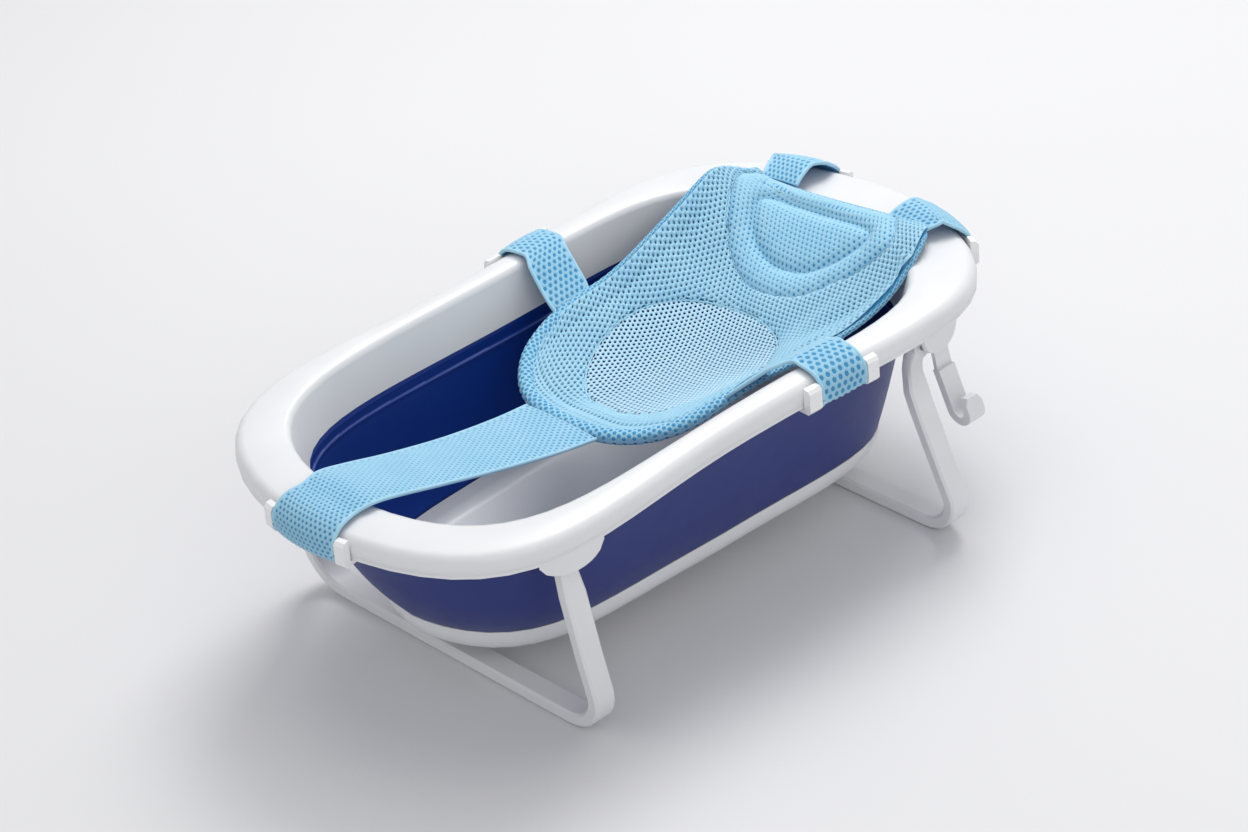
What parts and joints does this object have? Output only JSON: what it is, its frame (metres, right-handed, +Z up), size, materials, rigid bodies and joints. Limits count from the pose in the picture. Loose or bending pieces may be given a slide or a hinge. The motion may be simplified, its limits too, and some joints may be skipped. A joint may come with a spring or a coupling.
{
  "type": "folding baby bathtub with bath sling",
  "caption": "Folding baby bathtub: oval rim, soft collapsible wall, draining base tray, two hinged leg frames, hanging hook and a strapped-in mesh bath sling with head pad.",
  "frame": {"origin": "on the floor plane under the middle of the whole tub, unfolded and standing on its feet", "axes": "+X towards the head end, +Z up, -Y side carries the hanging hook"},
  "size_m": [0.8232, 0.4998, 0.2783],
  "materials": {
    "white_pp": "satin",
    "navy_tpe": "satin",
    "blue_mesh": "matte",
    "blue_knit": "matte",
    "clip_white": "satin",
    "pin_steel": "satin",
    "grip_rubber": "matte",
    "seal_rubber": "matte"
  },
  "bodies": {
    "body": {"rim_cover": "white_pp", "rim_frame": "white_pp", "soft_wall": "navy_tpe", "hook_pin": "pin_steel", "leg_pin_foot_near": "pin_steel", "leg_pin_foot_far": "pin_steel", "leg_pin_head_near": "pin_steel", "leg_pin_head_far": "pin_steel", "sling_net": "blue_mesh", "head_pad": "blue_knit", "strap_foot": "blue_knit", "strap_side_near": "blue_knit", "strap_side_far": "blue_knit", "strap_head_near": "blue_knit", "strap_head_far": "blue_knit", "clip_foot": "clip_white", "clip_side_near": "clip_white", "clip_side_far": "clip_white", "clip_head_near": "clip_white", "clip_head_far": "clip_white"},
    "base": {"base_tray": "white_pp", "drain_seal": "seal_rubber"},
    "plug": {"drain_plug": "navy_tpe"},
    "leg_foot": {"leg_frame_foot": "white_pp", "foot_pad_foot_end_near": "grip_rubber", "foot_pad_foot_end_far": "grip_rubber"},
    "leg_head": {"leg_frame_head": "white_pp", "foot_pad_head_end_near": "grip_rubber", "foot_pad_head_end_far": "grip_rubber"},
    "hook": {"hang_hook": "white_pp"}
  },
  "joints": [
    {"name": "collapse", "type": "slide", "parent": "body", "child": "base", "axis": [0, 0, 1], "range_m": [0, 0.11], "deforming": ["soft_wall"]},
    {"name": "leg_fold_foot", "type": "hinge", "parent": "body", "child": "leg_foot", "pos_m": [-0.262, 0, 0.2115], "axis": [0, -1, 0], "range_deg": [0, 60]},
    {"name": "leg_fold_head", "type": "hinge", "parent": "body", "child": "leg_head", "pos_m": [0.226, 0, 0.2115], "axis": [0, 1, 0], "range_deg": [0, 60]},
    {"name": "hook_swing", "type": "hinge", "parent": "body", "child": "hook", "pos_m": [0.244, 0, 0.2115], "axis": [0, -1, 0], "range_deg": [0, 75]},
    {"name": "plug_pull", "type": "slide", "parent": "base", "child": "plug", "axis": [0, 0, 1], "range_m": [0, 0.015]}
  ],
  "couplings": [
    {"joint": "leg_fold_foot", "follows": "collapse", "rad_per_m": 9.5},
    {"joint": "leg_fold_head", "follows": "collapse", "rad_per_m": 9.5}
  ]
}
